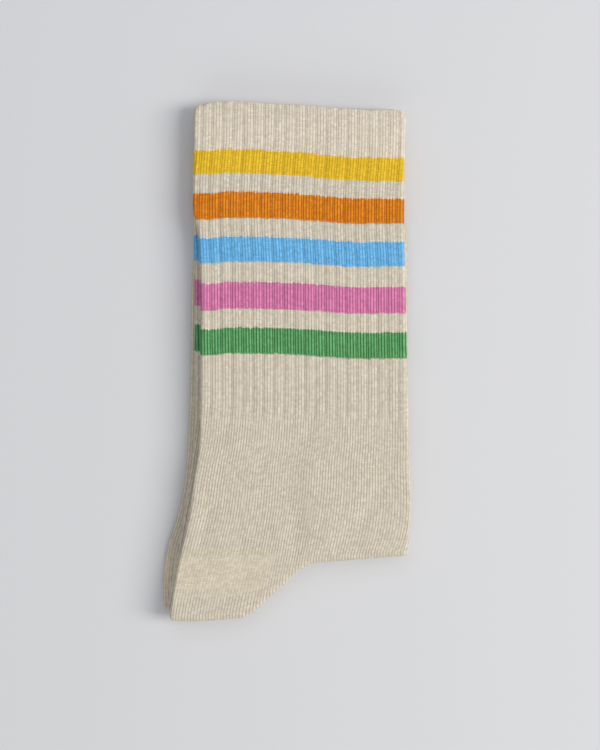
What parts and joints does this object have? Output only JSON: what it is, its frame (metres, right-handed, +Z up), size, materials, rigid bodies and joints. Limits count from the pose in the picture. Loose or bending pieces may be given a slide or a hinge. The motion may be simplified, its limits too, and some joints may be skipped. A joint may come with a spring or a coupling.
{
  "type": "pair of folded crew socks",
  "caption": "Pair of ribbed crew socks with plain coloured stripes round the leg, each folded at the heel and laid flat, one on the other.",
  "frame": {"origin": "middle of the pair's footprint, on the surface it lies on", "axes": "+Y along the legs towards the cuffs, +X across the socks towards the instep edge, +Z up from the surface"},
  "size_m": [0.1028, 0.2188, 0.0118],
  "materials": {
    "knit_top": "matte ribbed cotton knit, cream with five plain stripes",
    "knit_under": "matte ribbed cotton knit, cream with five plain stripes"
  },
  "bodies": {
    "root": {"sock_top": "knit_top", "sock_under": "knit_under"}
  },
  "joints": []
}
